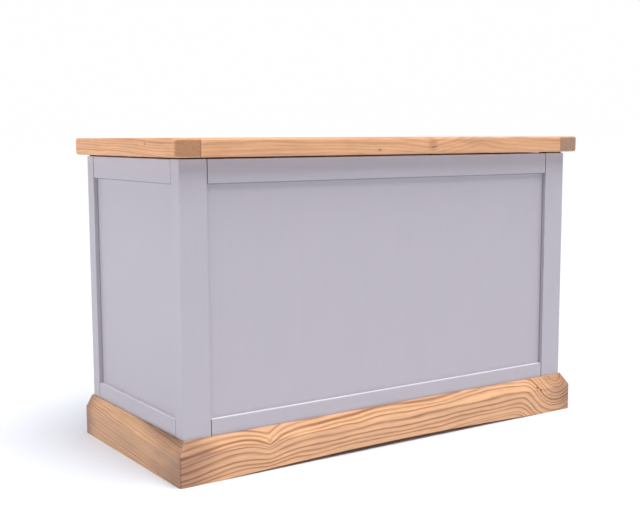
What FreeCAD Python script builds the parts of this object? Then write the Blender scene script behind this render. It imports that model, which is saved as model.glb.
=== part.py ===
import FreeCAD, Part
import os

V = FreeCAD.Vector

# A wooden toy box: a painted frame-and-panel chest on a bevelled plinth, with a solid hinged lid.
# Millimetres. X is left to right, Y is front to back, Z is up. The origin is on the floor,
# under the middle of the lid.

# Overall sizes
LENGTH = 800.0  # lid, left to right
DEPTH = 370.0  # lid, front to back
HEIGHT = 500.0  # floor to the top of the lid

# Lid
LID_T = 27.0
LID_SIDE_OVERHANG = 15.0
LID_FRONT_OVERHANG = 17.0
LID_BACK_OVERHANG = 13.0
LID_CORNER_R = 6.0
LID_ARRIS_R = 4.0
LID_BOARDS = 4
CLEAT_W = 42.0  # cross piece at each end of the lid
TONGUE_T = 8.0
TONGUE_L = 9.0
TONGUE_STOP = 15.0  # end tongues stop this far inside the lid's front and back edges
TONGUE_FIT = 0.1  # clearance on each face of a tongue
TONGUE_END_GAP = 1.0

# Frame of posts and rails
POST_W = 45.0  # along X
POST_D = 26.0  # along Y
POST_ARRIS_R = 3.0
ARRIS_R = 0.8  # eased edge on every other painted piece
RAIL_T = 20.0
RAIL_SETBACK = 0.6  # rails stand this far behind the posts' faces
TOP_RAIL_H = 35.0
BOTTOM_RAIL_H = 45.0
BOTTOM_RAIL_SHOWING = 25.0  # height of bottom rail seen above the plinth
JOINT_LINE_W = 1.6  # shadow line where a rail meets a post
JOINT_LINE_DEPTH = 4.0
PANEL_T = 6.0
PANEL_RECESS = 7.0  # panel's face behind the posts' faces
PANEL_IN_GROOVE = 8.0
GROOVE_DEPTH = 10.0
GROOVE_FIT = 0.1
DOWEL_D = 6.0
DOWEL_L = 36.0
DOWEL_CHAMFER = 0.6
DOWEL_FIT = 0.05
DOWEL_END_GAP = 1.0

# Plinth
PLINTH_H = 65.0
PLINTH_T = 14.0
PLINTH_LAND = 3.0  # flat top edge, beside the posts
PLINTH_BEVEL_H = 19.0
PLINTH_CORNER_R = 4.0
PLINTH_RELIEF = 7.0  # rise of the shallow arch under the front board
PLINTH_FOOT = 68.0  # length of board that stands on the floor at each end
BLOCK = 18.0  # section of the blocks behind the plinth
BLOCK_L = 50.0

# Floor
FLOOR_T = 9.0
FLOOR_BELOW_RAIL = 15.0  # floor's top face below the top of the bottom rails
FLOOR_GAP = 0.5
BEARER = 20.0
BEARER_END_GAP = 1.0
FIXING_SPACING = 250.0  # largest distance between screws or blocks in a row
FIXING_END = 45.0  # first screw or block in from a post

# Hinges
LEAF_T = 1.6
LEAF_GAP = 0.8  # between the closed leaves
LEAF_L = 64.0
LEAF_W = 22.0  # from the pin to the leaf's free edge
KNUCKLES = 5
KNUCKLE_R = 3.0
KNUCKLE_GAP = 0.3
KNUCKLE_OFF_BACK = 0.5  # knuckle clear of the posts' back faces
HINGE_FROM_END = 120.0  # hinge's middle in from the end of the carcass
HINGE_POCKET = 0.5  # room round the knuckles in the lid
LEAF_FIT = 0.1  # clearance round the leaf let into the rail
PIN_R = 1.4
PIN_FIT = 0.05
PIN_HEAD_R = 2.4
PIN_HEAD_T = 0.8
HINGE_SCREW_SPACING = 22.0

# Lid stays: two flat arms on each side that fold as a parallelogram with the lid
STAY_PLATE_T = 1.5
STAY_PLATE_L = 36.0
STAY_PLATE_H = 18.0
STAY_ARM_T = 2.0
STAY_ARM_R = 6.0  # half the arm's width, and its end radius
STAY_LAYER_GAP = 0.5
STAY_ROOT_FROM_POST = 38.0  # lower pivot in front of the back post
STAY_ROOT_BELOW_TOP = 22.0  # lower pivot below the top of the rail
STAY_LID_FORWARD = 115.5  # lid pivot in front of the hinge pins
STAY_LID_BELOW = 12.0  # lid pivot below the lid
STAY_FLANGE_W = 24.0
STAY_FLANGE_L = 40.0
STAY_SCREW_OFFSET = 13.0
RIVET_R = 2.5
RIVET_FIT = 0.05
RIVET_HEAD_R = 4.0
RIVET_HEAD_T = 0.8
RIVET_HEAD_GAP = 0.2
ELBOW_FIT = 0.3  # play at the open pivot between the two arms

# Screws: (shank radius, head radius, length)
LONG_SCREW = (2.0, 3.8, 32.0)
BLOCK_SCREW = (1.75, 3.4, 26.0)
SMALL_SCREW = (1.5, 2.9, 14.0)
SCREW_FIT = 0.1
SCREW_END_GAP = 1.0
SLOT_W = 0.7
SLOT_DEPTH = 1.0

# Rubber pads under the lid, one on each post
PAD_MARGIN = 3.0  # post showing round the pad
PAD_CORNER_R = 3.0
PAD_ARRIS_R = 0.6
PAD_GAP = 0.1

# Places that follow from the sizes
LID_UNDER = HEIGHT - LID_T
LID_GAP = LEAF_T + LEAF_GAP
TOP = LID_UNDER - LID_GAP
HALF = LENGTH / 2 - LID_SIDE_OVERHANG
FRONT = -DEPTH / 2 + LID_FRONT_OVERHANG
BACK = DEPTH / 2 - LID_BACK_OVERHANG
MIDDLE = (FRONT + BACK) / 2
TOP_RAIL_LOW = TOP - TOP_RAIL_H
BOTTOM_RAIL_TOP = PLINTH_H + BOTTOM_RAIL_SHOWING
BOTTOM_RAIL_LOW = BOTTOM_RAIL_TOP - BOTTOM_RAIL_H
RAIL_INSIDE = RAIL_SETBACK + RAIL_T
RAIL_MIDDLE = RAIL_SETBACK + RAIL_T / 2
FLOOR_LOW = BOTTOM_RAIL_TOP - FLOOR_BELOW_RAIL - FLOOR_T
PIN_Y = BACK + KNUCKLE_R + KNUCKLE_OFF_BACK
PIN_Z = TOP + LEAF_GAP / 2
HINGE_X = HALF - HINGE_FROM_END
STAY_X = HALF - RAIL_INSIDE
ROOT_PIVOT = (BACK - POST_D - STAY_ROOT_FROM_POST, TOP - STAY_ROOT_BELOW_TOP)
LID_PIVOT = (PIN_Y - STAY_LID_FORWARD, LID_UNDER - STAY_LID_BELOW)
ELBOW = (LID_PIVOT[0] + ROOT_PIVOT[0] - PIN_Y, LID_PIVOT[1] + ROOT_PIVOT[1] - PIN_Z)
SLACK = 50.0  # how far cutting tools run past what they cut


def box(x0, x1, y0, y1, z0, z1):
    """Box between two corners."""
    return Part.makeBox(x1 - x0, y1 - y0, z1 - z0, V(x0, y0, z0))


def rod(radius, length, start, direction):
    """Cylinder from a start point along a direction."""
    return Part.makeCylinder(radius, length, start, direction)


def fused(shapes):
    """One solid from shapes that overlap."""
    return shapes[0].multiFuse(shapes[1:]).removeSplitter()


def mirrored(shape):
    """The same piece on the other side of the box."""
    return shape.mirror(V(0, 0, 0), V(1, 0, 0))


def both(shape):
    """A piece and its mirror image."""
    return [shape, mirrored(shape)]


def edges_along(shape, axis, keep=lambda middle: True):
    """Straight edges parallel to an axis (0, 1 or 2) whose middle passes a test."""
    found = []
    for edge in shape.Edges:
        ends = [vertex.Point for vertex in edge.Vertexes]
        if len(ends) < 2:
            continue
        run = ends[1] - ends[0]
        if abs(abs(run[axis]) - run.Length) < 1e-6 and keep(edge.CenterOfMass):
            found.append(edge)
    return found


def prism(points, z0, z1):
    """Upright prism on an outline of (x, y) points."""
    corners = [V(x, y, z0) for x, y in points]
    face = Part.Face(Part.makePolygon(corners + corners[:1]))
    return face.extrude(V(0, 0, z1 - z0))


def save(name, shape):
    """Writes one node. A list is a group of separate solids."""
    if isinstance(shape, list):
        shape = Part.makeCompound(shape)
    shape.exportStep("parts/" + name + ".step")


def screw(sizes, point, direction):
    """Countersunk slotted screw. The point is the middle of its head's face."""
    shank_r, head_r, length = sizes
    head_h = head_r - shank_r
    body = fused([
        Part.makeCone(head_r, shank_r, head_h, point, direction),
        rod(shank_r, length - shank_r, point, direction),
        Part.makeCone(shank_r, shank_r / 4, shank_r, point + direction * (length - shank_r), direction),
    ])
    slot = Part.makeBox(2 * head_r, SLOT_W, SLOT_DEPTH, V(-head_r, -SLOT_W / 2, 0))
    slot.Placement = FreeCAD.Placement(point, FreeCAD.Rotation(V(0, 0, 1), direction))
    return body.cut(slot)


def screw_hole(sizes, point, direction):
    """Hole that a screw goes in, with its countersink."""
    shank_r, head_r, length = sizes
    shank_r += SCREW_FIT
    head_r += SCREW_FIT
    return fused([
        Part.makeCone(head_r, shank_r, head_r - shank_r, point, direction),
        rod(shank_r, length + SCREW_END_GAP, point, direction),
    ])


def places(clear):
    """Evenly spaced places along a rail of this length, for screws and blocks."""
    end = clear / 2 - FIXING_END
    gaps = max(1, round(2 * end / FIXING_SPACING))
    return [-end + 2 * end * i / gaps for i in range(gaps + 1)]


def rail(clear, z0, z1, groove_z):
    """Rail between two posts, with the panel's groove along one edge and a shadow line at each end."""
    piece = box(-clear / 2, clear / 2, RAIL_SETBACK, RAIL_INSIDE, z0, z1)
    piece = piece.makeFillet(ARRIS_R, edges_along(piece, 0))
    cuts = [box(-clear / 2, clear / 2, PANEL_RECESS - GROOVE_FIT, PANEL_RECESS + PANEL_T + GROOVE_FIT,
                groove_z, groove_z + GROOVE_DEPTH)]
    for end in (-clear / 2, clear / 2 - JOINT_LINE_W):
        cuts.append(box(end, end + JOINT_LINE_W, 0, RAIL_SETBACK + JOINT_LINE_DEPTH, z0, z1))
    return piece.cut(cuts)


def dowel_heights():
    """Two dowels at each rail end, in the wood beside the groove."""
    stretches = [
        (TOP_RAIL_LOW + GROOVE_DEPTH, TOP),
        (BOTTOM_RAIL_LOW, BOTTOM_RAIL_TOP - GROOVE_DEPTH),
    ]
    return [low + (high - low) * share for low, high in stretches for share in (0.25, 0.75)]


def wall(clear, has_plinth):
    """All that is between two posts, with the posts' outer faces at y = 0 and the inside at +y."""
    screws = []
    holes = []
    blocks = []
    block_screws = []
    block_holes = []
    bearer_low = FLOOR_LOW - BEARER
    bearer = box(-clear / 2 + BEARER_END_GAP, clear / 2 - BEARER_END_GAP,
                 RAIL_INSIDE, RAIL_INSIDE + BEARER, bearer_low, FLOOR_LOW)
    for x in places(clear):
        head = V(x, RAIL_INSIDE + BEARER, bearer_low + BEARER / 2)
        screws.append(screw(LONG_SCREW, head, V(0, -1, 0)))
        holes.append(screw_hole(LONG_SCREW, head, V(0, -1, 0)))
        if has_plinth:
            head = V(x, BLOCK, BOTTOM_RAIL_LOW - BLOCK / 2)
            hole = screw_hole(BLOCK_SCREW, head, V(0, -1, 0))
            block = box(x - BLOCK_L / 2, x + BLOCK_L / 2, 0, BLOCK, BOTTOM_RAIL_LOW - BLOCK, BOTTOM_RAIL_LOW)
            blocks.append(block.cut(hole))
            block_screws.append(screw(BLOCK_SCREW, head, V(0, -1, 0)))
            block_holes.append(hole)
    dowels = []
    dowel_holes = []
    for side in (-1, 1):
        for z in dowel_heights():
            start = V(side * clear / 2 - DOWEL_L / 2, RAIL_MIDDLE, z)
            dowel = rod(DOWEL_D / 2, DOWEL_L, start, V(1, 0, 0))
            ends = [edge for edge in dowel.Edges if edge.Closed]
            dowels.append(dowel.makeChamfer(DOWEL_CHAMFER, ends))
            dowel_holes.append(rod(DOWEL_D / 2 + DOWEL_FIT, DOWEL_L + 2 * DOWEL_END_GAP,
                                   start - V(DOWEL_END_GAP, 0, 0), V(1, 0, 0)))
    grooves = box(-clear / 2 - GROOVE_DEPTH, clear / 2 + GROOVE_DEPTH,
                  PANEL_RECESS - GROOVE_FIT, PANEL_RECESS + PANEL_T + GROOVE_FIT,
                  BOTTOM_RAIL_TOP - GROOVE_DEPTH, TOP_RAIL_LOW + GROOVE_DEPTH)
    return {
        "top_rail": rail(clear, TOP_RAIL_LOW, TOP, TOP_RAIL_LOW).cut(dowel_holes),
        "bottom_rail": rail(clear, BOTTOM_RAIL_LOW, BOTTOM_RAIL_TOP,
                            BOTTOM_RAIL_TOP - GROOVE_DEPTH).cut(dowel_holes + holes),
        "panel": box(-clear / 2 - PANEL_IN_GROOVE, clear / 2 + PANEL_IN_GROOVE,
                     PANEL_RECESS, PANEL_RECESS + PANEL_T,
                     BOTTOM_RAIL_TOP - PANEL_IN_GROOVE, TOP_RAIL_LOW + PANEL_IN_GROOVE),
        "bearer": bearer.cut(holes),
        "bearer_screws": screws,
        "dowels": dowels,
        "blocks": blocks,
        "block_screws": block_screws,
        "block_holes": block_holes,
        "post_cuts": [grooves] + dowel_holes,
    }


def placed(item, angle, x, y):
    """A wall's piece, list or dictionary of pieces, turned and moved to its side of the box."""
    if isinstance(item, dict):
        return {key: placed(value, angle, x, y) for key, value in item.items()}
    if isinstance(item, list):
        return [placed(value, angle, x, y) for value in item]
    moved = item.copy()
    moved.rotate(V(0, 0, 0), V(0, 0, 1), angle)
    moved.translate(V(x, y, 0))
    return moved


def make_walls():
    """The four walls, by the side they are on."""
    across = 2 * (HALF - POST_W)
    along = BACK - FRONT - 2 * POST_D
    return {
        "front": placed(wall(across, True), 0, 0, FRONT),
        "back": placed(wall(across, False), 180, 0, BACK),
        "left": placed(wall(along, True), -90, -HALF, MIDDLE),
        "right": placed(wall(along, True), 90, HALF, MIDDLE),
    }


def post(x_side, y_side, cuts):
    """Corner post. The sides are -1 or 1, and its outer arris is the rounder one."""
    x_out = x_side * HALF
    y_out = FRONT if y_side < 0 else BACK
    x_in = x_out - x_side * POST_W
    y_in = y_out - y_side * POST_D
    piece = box(min(x_in, x_out), max(x_in, x_out), min(y_in, y_out), max(y_in, y_out), 0, TOP)

    def is_outer(middle):
        return abs(middle.x - x_out) < 1 and abs(middle.y - y_out) < 1

    piece = piece.makeFillet(POST_ARRIS_R, edges_along(piece, 2, is_outer))
    piece = piece.makeFillet(ARRIS_R, edges_along(piece, 2, lambda m: abs(m.x - x_in) < 1 or abs(m.y - y_in) < 1))
    return piece.cut(cuts)


def rounded_outline(half_x, y0, y1, radius, z):
    """Closed rectangle with round corners at one height."""
    base = Part.makePolygon([V(-half_x, y0, z), V(half_x, y0, z), V(half_x, y1, z),
                             V(-half_x, y1, z), V(-half_x, y0, z)])
    face = Part.Face(base)
    solid = face.extrude(V(0, 0, 1))
    solid = solid.makeFillet(radius, edges_along(solid, 2))
    bottom = [f for f in solid.Faces if abs(f.CenterOfMass.z - z) < 1e-6]
    return bottom[0].OuterWire


def make_plinth(holes):
    """Front, left and right boards, mitred at the front corners and flush at the back."""
    bevel_low = PLINTH_H - PLINTH_BEVEL_H
    past = BACK + SLACK
    wide = rounded_outline(HALF + PLINTH_T, FRONT - PLINTH_T, past + PLINTH_T, PLINTH_CORNER_R, bevel_low)
    narrow = rounded_outline(HALF + PLINTH_LAND, FRONT - PLINTH_LAND, past + PLINTH_LAND,
                             PLINTH_CORNER_R, PLINTH_H)
    lower = Part.Face(wide).extrude(V(0, 0, -bevel_low))
    upper = Part.makeLoft([wide, narrow], True, True)
    ring = fused([lower, upper])
    ring = ring.cut(box(-HALF, HALF, FRONT, past + SLACK, -SLACK, HEIGHT))
    ring = ring.cut(box(-LENGTH, LENGTH, BACK, past + SLACK, -SLACK, HEIGHT))
    front_zone = prism([(-HALF, FRONT), (HALF, FRONT), (HALF + SLACK, FRONT - SLACK),
                        (-HALF - SLACK, FRONT - SLACK)], 0, HEIGHT)
    left_zone = prism([(-HALF, FRONT), (-HALF - SLACK, FRONT - SLACK), (-HALF - SLACK, BACK), (-HALF, BACK)],
                      0, HEIGHT)
    arch_half = HALF + PLINTH_T - PLINTH_FOOT
    y = FRONT - PLINTH_T - SLACK
    arc = Part.Arc(V(-arch_half, y, 0), V(0, y, PLINTH_RELIEF), V(arch_half, y, 0)).toShape()
    chord = Part.makeLine(V(arch_half, y, 0), V(-arch_half, y, 0))
    arch = Part.Face(Part.Wire([arc, chord])).extrude(V(0, 2 * SLACK + PLINTH_T, 0))
    front = ring.common(front_zone).cut([arch] + holes["front"])
    left = ring.common(left_zone).cut(holes["left"])
    return front, left


def make_floor():
    """Plywood floor, notched round the posts."""
    inside = HALF - RAIL_INSIDE - FLOOR_GAP
    low = FRONT + RAIL_INSIDE + FLOOR_GAP
    high = BACK - RAIL_INSIDE - FLOOR_GAP
    board = box(-inside, inside, low, high, FLOOR_LOW, FLOOR_LOW + FLOOR_T)
    post_x = HALF - POST_W - FLOOR_GAP
    front_y = FRONT + POST_D + FLOOR_GAP
    back_y = BACK - POST_D - FLOOR_GAP
    notches = []
    for y0, y1 in ((FRONT, front_y), (back_y, BACK)):
        notches += both(box(-HALF, -post_x, y0, y1, FLOOR_LOW - 1, FLOOR_LOW + FLOOR_T + 1))
    return board.cut(notches)


def make_lid(cuts):
    """Lid boards, front to back, and the left cleat, all cut from one rounded block."""
    half_x = LENGTH / 2
    half_y = DEPTH / 2
    block = box(-half_x, half_x, -half_y, half_y, LID_UNDER, HEIGHT)
    block = block.makeFillet(LID_CORNER_R, edges_along(block, 2))
    rims = [e for e in block.Edges if abs(e.BoundBox.ZMax - e.BoundBox.ZMin) < 1e-6]
    block = block.makeFillet(LID_ARRIS_R, rims)
    joint_x = half_x - CLEAT_W
    pitch = DEPTH / LID_BOARDS
    middle = (LID_UNDER + HEIGHT) / 2
    tongue = (middle - TONGUE_T / 2, middle + TONGUE_T / 2)
    groove = (tongue[0] - TONGUE_FIT, tongue[1] + TONGUE_FIT)
    groove_l = TONGUE_L + TONGUE_END_GAP
    boards = []
    for i in range(LID_BOARDS):
        y0 = -half_y + i * pitch
        y1 = y0 + pitch
        board = block.common(box(-joint_x, joint_x, y0, y1, LID_UNDER, HEIGHT))
        if i > 0:
            board = board.cut(box(-joint_x, joint_x, y0, y0 + groove_l, *groove))
        pieces = [board]
        if i < LID_BOARDS - 1:
            pieces.append(box(-joint_x, joint_x, y1 - 1, y1 + TONGUE_L, *tongue))
        end_y0 = y0 + (TONGUE_STOP if i == 0 else 0)
        end_y1 = y1 - (TONGUE_STOP if i == LID_BOARDS - 1 else 0)
        root_y0 = y0 + (groove_l if i > 0 else TONGUE_STOP)
        for side in (-1, 1):
            outer = side * (joint_x + TONGUE_L)
            joint = side * joint_x
            pieces.append(box(min(joint, outer), max(joint, outer), end_y0, end_y1, *tongue))
            root = side * (joint_x - 1)
            pieces.append(box(min(joint, root), max(joint, root), root_y0, end_y1, *tongue))
        boards.append(fused(pieces).cut(cuts))
    cleat = block.common(box(-half_x, -joint_x, -half_y, half_y, LID_UNDER, HEIGHT))
    stop = half_y - TONGUE_STOP + TONGUE_END_GAP
    cleat = cleat.cut([box(-joint_x - groove_l, -joint_x, -stop, stop, *groove)] + cuts)
    return boards, cleat


def knuckle_spans(first):
    """X ranges of every second knuckle, starting with the one given."""
    pitch = LEAF_L / KNUCKLES
    starts = [-LEAF_L / 2 + i * pitch for i in range(first, KNUCKLES, 2)]
    return [(x + KNUCKLE_GAP / 2, x + pitch - KNUCKLE_GAP / 2) for x in starts]


def leaf(first, z0, screws_at, direction):
    """One leaf of a butt hinge, its knuckles turned round the pin."""
    web = PIN_Y - KNUCKLE_R - HINGE_POCKET
    parts = [box(-LEAF_L / 2, LEAF_L / 2, PIN_Y - LEAF_W, web, z0, z0 + LEAF_T)]
    for x0, x1 in knuckle_spans(first):
        parts.append(box(x0, x1, web - 1, PIN_Y, z0, z0 + LEAF_T))
        parts.append(rod(KNUCKLE_R, x1 - x0, V(x0, PIN_Y, PIN_Z), V(1, 0, 0)))
    bore = rod(PIN_R + PIN_FIT, LEAF_L + 2, V(-LEAF_L / 2 - 1, PIN_Y, PIN_Z), V(1, 0, 0))
    holes = [screw_hole(SMALL_SCREW, point, direction) for point in screws_at]
    return fused(parts).cut([bore] + holes)


def make_hinge():
    """Butt hinge centred on x = 0: a leaf let into the rail, one on the lid, the pin and the screws."""
    rail_y = BACK - RAIL_MIDDLE
    offsets = (-HINGE_SCREW_SPACING, 0, HINGE_SCREW_SPACING)
    low_points = [V(x, rail_y, TOP) for x in offsets]
    high_points = [V(x, rail_y, LID_UNDER - LEAF_T) for x in offsets]
    head_x = LEAF_L / 2 + PIN_HEAD_T
    pin = fused([
        rod(PIN_R, 2 * head_x, V(-head_x, PIN_Y, PIN_Z), V(1, 0, 0)),
        rod(PIN_HEAD_R, PIN_HEAD_T, V(-head_x, PIN_Y, PIN_Z), V(1, 0, 0)),
        rod(PIN_HEAD_R, PIN_HEAD_T, V(LEAF_L / 2, PIN_Y, PIN_Z), V(1, 0, 0)),
    ])
    room = KNUCKLE_R + HINGE_POCKET
    pocket_x = head_x + HINGE_POCKET
    recess_x = LEAF_L / 2 + LEAF_FIT
    recess = box(-recess_x, recess_x, PIN_Y - LEAF_W - LEAF_FIT, BACK, TOP - LEAF_T, LID_UNDER)
    return {
        "carcass_leaf": leaf(0, TOP - LEAF_T, low_points, V(0, 0, -1)),
        "lid_leaf": leaf(1, LID_UNDER - LEAF_T, high_points, V(0, 0, 1)),
        "pin": pin,
        "carcass_screws": [screw(SMALL_SCREW, point, V(0, 0, -1)) for point in low_points],
        "lid_screws": [screw(SMALL_SCREW, point, V(0, 0, 1)) for point in high_points],
        "carcass_holes": [screw_hole(SMALL_SCREW, point, V(0, 0, -1)) for point in low_points] + [recess],
        "lid_holes": [screw_hole(SMALL_SCREW, point, V(0, 0, 1)) for point in high_points],
        "pocket": box(-pocket_x, pocket_x, PIN_Y - room, PIN_Y + room, LID_UNDER, PIN_Z + room),
    }


def arm(layer_x, start, end, start_fit, end_fit):
    """Flat stay arm between two pivots (y, z), in its own layer."""
    run = V(0, end[0] - start[0], end[1] - start[1])
    bar = Part.makeBox(STAY_ARM_T, run.Length, 2 * STAY_ARM_R, V(0, 0, -STAY_ARM_R))
    bar.Placement = FreeCAD.Placement(V(layer_x, *start), FreeCAD.Rotation(V(0, 1, 0), run))
    ends = [rod(STAY_ARM_R, STAY_ARM_T, V(layer_x, *point), V(1, 0, 0)) for point in (start, end)]
    piece = fused([bar] + ends)
    holes = []
    for point, fit in ((start, start_fit), (end, end_fit)):
        holes.append(rod(RIVET_R + fit, STAY_ARM_T + 2, V(layer_x - 1, *point), V(1, 0, 0)))
    return piece.cut(holes)


def rivet(x0, x1, pivot, outer_head, inner_head):
    """Rivet through a pivot (y, z), from x0 to x1, with a flat head at the ends that have one."""
    parts = [rod(RIVET_R, x1 - x0, V(x0, *pivot), V(1, 0, 0))]
    if outer_head:
        parts.append(rod(RIVET_HEAD_R, RIVET_HEAD_T, V(x0, *pivot), V(1, 0, 0)))
    if inner_head:
        parts.append(rod(RIVET_HEAD_R, RIVET_HEAD_T, V(x1 - RIVET_HEAD_T, *pivot), V(1, 0, 0)))
    return fused(parts)


def make_stay():
    """Left lid stay, in layers from the side rail inwards: plate, lower arm, upper arm, lid bracket."""
    plate_x = -STAY_X
    lower_x = plate_x + STAY_PLATE_T + STAY_LAYER_GAP
    upper_x = lower_x + STAY_ARM_T + STAY_LAYER_GAP
    lug_x = upper_x + STAY_ARM_T + STAY_LAYER_GAP
    head = RIVET_HEAD_GAP + RIVET_HEAD_T
    y, z = ROOT_PIVOT
    side_points = [V(lower_x - STAY_LAYER_GAP, y + side * STAY_SCREW_OFFSET, z) for side in (-1, 1)]
    side_holes = [screw_hole(SMALL_SCREW, point, V(-1, 0, 0)) for point in side_points]
    plate = box(plate_x, plate_x + STAY_PLATE_T, y - STAY_PLATE_L / 2, y + STAY_PLATE_L / 2,
                z - STAY_PLATE_H / 2, z + STAY_PLATE_H / 2)
    plate = plate.makeFillet(3.0, edges_along(plate, 0))
    plate = plate.cut([rod(RIVET_R + RIVET_FIT, STAY_PLATE_T, V(plate_x, y, z), V(1, 0, 0))] + side_holes)
    y, z = LID_PIVOT
    flange_z = LID_UNDER - STAY_PLATE_T
    lid_points = [V(lug_x + STAY_FLANGE_W / 2, y + side * STAY_SCREW_OFFSET, flange_z) for side in (-1, 1)]
    lid_holes = [screw_hole(SMALL_SCREW, point, V(0, 0, 1)) for point in lid_points]
    bracket = fused([
        box(lug_x, lug_x + STAY_FLANGE_W, y - STAY_FLANGE_L / 2, y + STAY_FLANGE_L / 2, flange_z, LID_UNDER),
        box(lug_x, lug_x + STAY_PLATE_T, y - STAY_ARM_R, y + STAY_ARM_R, z, LID_UNDER),
        rod(STAY_ARM_R, STAY_PLATE_T, V(lug_x, y, z), V(1, 0, 0)),
    ])
    bracket = bracket.cut([rod(RIVET_R + RIVET_FIT, STAY_PLATE_T, V(lug_x, y, z), V(1, 0, 0))] + lid_holes)
    return {
        "side_plate": plate,
        "lid_bracket": bracket,
        "lower_arm": arm(lower_x, ROOT_PIVOT, ELBOW, RIVET_FIT, RIVET_FIT),
        "upper_arm": arm(upper_x, LID_PIVOT, ELBOW, RIVET_FIT, ELBOW_FIT),
        "root_rivet": rivet(plate_x, lower_x + STAY_ARM_T + head, ROOT_PIVOT, False, True),
        "lid_rivet": rivet(upper_x - head, lug_x + STAY_PLATE_T + RIVET_HEAD_T, LID_PIVOT, True, True),
        "elbow_rivet": rivet(lower_x - RIVET_HEAD_T, upper_x + STAY_ARM_T + head, ELBOW, True, True),
        "side_screws": [screw(SMALL_SCREW, point, V(-1, 0, 0)) for point in side_points],
        "lid_screws": [screw(SMALL_SCREW, point, V(0, 0, 1)) for point in lid_points],
        "side_holes": side_holes,
        "lid_holes": lid_holes,
    }


def save_frame(walls, stay, hinge):
    """Posts, rails, panels, floor and what fixes them."""
    for x_side, x_name in ((-1, "left"), (1, "right")):
        for y_side, y_name in ((-1, "front"), (1, "back")):
            cuts = walls[x_name]["post_cuts"] + walls[y_name]["post_cuts"]
            save("post_" + y_name + "_" + x_name, post(x_side, y_side, cuts))
    hinge_holes = []
    for hole in hinge["carcass_holes"]:
        hole.translate(V(-HINGE_X, 0, 0))
        hinge_holes += both(hole)
    stay_holes = []
    for hole in stay["side_holes"]:
        stay_holes += both(hole)
    for name, parts in walls.items():
        save("rail_" + name + "_top", parts["top_rail"].cut(hinge_holes + stay_holes))
        save("rail_" + name + "_bottom", parts["bottom_rail"])
        save("panel_" + name, parts["panel"])
        save("floor_bearer_" + name, parts["bearer"])
    save("floor_panel", make_floor())
    for node, key in (("frame_dowels", "dowels"), ("bearer_screws", "bearer_screws"),
                      ("plinth_blocks", "blocks"), ("plinth_screws", "block_screws")):
        save(node, [shape for parts in walls.values() for shape in parts[key]])


def save_hinges(hinge):
    """Two butt hinges, left and right."""
    screws = {"carcass_screws": [], "lid_screws": []}
    for name, x in (("left", -HINGE_X), ("right", HINGE_X)):
        save("hinge_carcass_leaf_" + name, hinge["carcass_leaf"].translated(V(x, 0, 0)))
        save("hinge_lid_leaf_" + name, hinge["lid_leaf"].translated(V(x, 0, 0)))
        save("hinge_pin_" + name, hinge["pin"].translated(V(x, 0, 0)))
        for key, group in screws.items():
            group += [shape.translated(V(x, 0, 0)) for shape in hinge[key]]
    save("hinge_screws_carcass", screws["carcass_screws"])
    save("hinge_screws_lid", screws["lid_screws"])


def save_stays(stay):
    """Two lid stays, left and right."""
    for key in ("side_plate", "lid_bracket", "lower_arm", "upper_arm", "elbow_rivet"):
        for name, shape in zip(("left", "right"), both(stay[key])):
            save("stay_" + key + "_" + name, shape)
    save("stay_root_rivets", both(stay["root_rivet"]))
    save("stay_lid_rivets", both(stay["lid_rivet"]))
    save("stay_screws_side", [shape for part in stay["side_screws"] for shape in both(part)])
    save("stay_screws_lid", [shape for part in stay["lid_screws"] for shape in both(part)])


def save_pads():
    """Rubber pads on the posts, which the closed lid comes down on."""
    x, y = HALF - PAD_MARGIN, FRONT + PAD_MARGIN
    pad = box(-x, -x + POST_W - 2 * PAD_MARGIN, y, y + POST_D - 2 * PAD_MARGIN, TOP, LID_UNDER - PAD_GAP)
    pad = pad.makeFillet(PAD_CORNER_R, edges_along(pad, 2))
    rim = [edge for edge in pad.Edges if edge.BoundBox.ZMin > TOP + 1]
    pad = pad.makeFillet(PAD_ARRIS_R, rim)
    back = pad.translated(V(0, BACK - FRONT - POST_D, 0))
    save("lid_bumpers", both(pad) + both(back))


def main():
    os.makedirs("parts", exist_ok=True)
    walls = make_walls()
    hinge = make_hinge()
    stay = make_stay()
    front, left = make_plinth({name: walls[name]["block_holes"] for name in ("front", "left")})
    save("plinth_front", front)
    save("plinth_left", left)
    save("plinth_right", mirrored(left))
    lid_cuts = []
    for x in (-HINGE_X, HINGE_X):
        lid_cuts += [shape.translated(V(x, 0, 0)) for shape in hinge["lid_holes"] + [hinge["pocket"]]]
    for hole in stay["lid_holes"]:
        lid_cuts += both(hole)
    boards, cleat = make_lid(lid_cuts)
    for number, board in enumerate(boards, 1):
        save("lid_board_" + str(number), board)
    save("lid_cleat_left", cleat)
    save("lid_cleat_right", mirrored(cleat))
    save_frame(walls, stay, hinge)
    save_hinges(hinge)
    save_stays(stay)
    save_pads()


main()
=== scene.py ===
import math
from collections import namedtuple

import bpy
from bpy.props import FloatProperty, FloatVectorProperty, PointerProperty
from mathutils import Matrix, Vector


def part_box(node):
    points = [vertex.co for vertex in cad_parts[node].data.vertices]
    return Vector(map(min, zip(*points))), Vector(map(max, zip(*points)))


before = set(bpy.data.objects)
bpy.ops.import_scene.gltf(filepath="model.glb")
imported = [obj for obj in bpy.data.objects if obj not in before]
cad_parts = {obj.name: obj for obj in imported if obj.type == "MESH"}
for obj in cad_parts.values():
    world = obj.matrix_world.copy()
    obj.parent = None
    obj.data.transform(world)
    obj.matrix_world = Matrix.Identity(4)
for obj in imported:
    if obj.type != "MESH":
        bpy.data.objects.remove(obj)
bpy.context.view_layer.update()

bl_info = {
    "name": "Wooden Toy Box",
    "version": (1, 0, 0),
    "blender": (4, 5, 0),
    "location": "View3D > Sidebar > Toy Box",
    "description": "Finishes a frame-and-panel toy box: painted carcass, waxed pine lid and plinth",
    "category": "Object",
}

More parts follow.
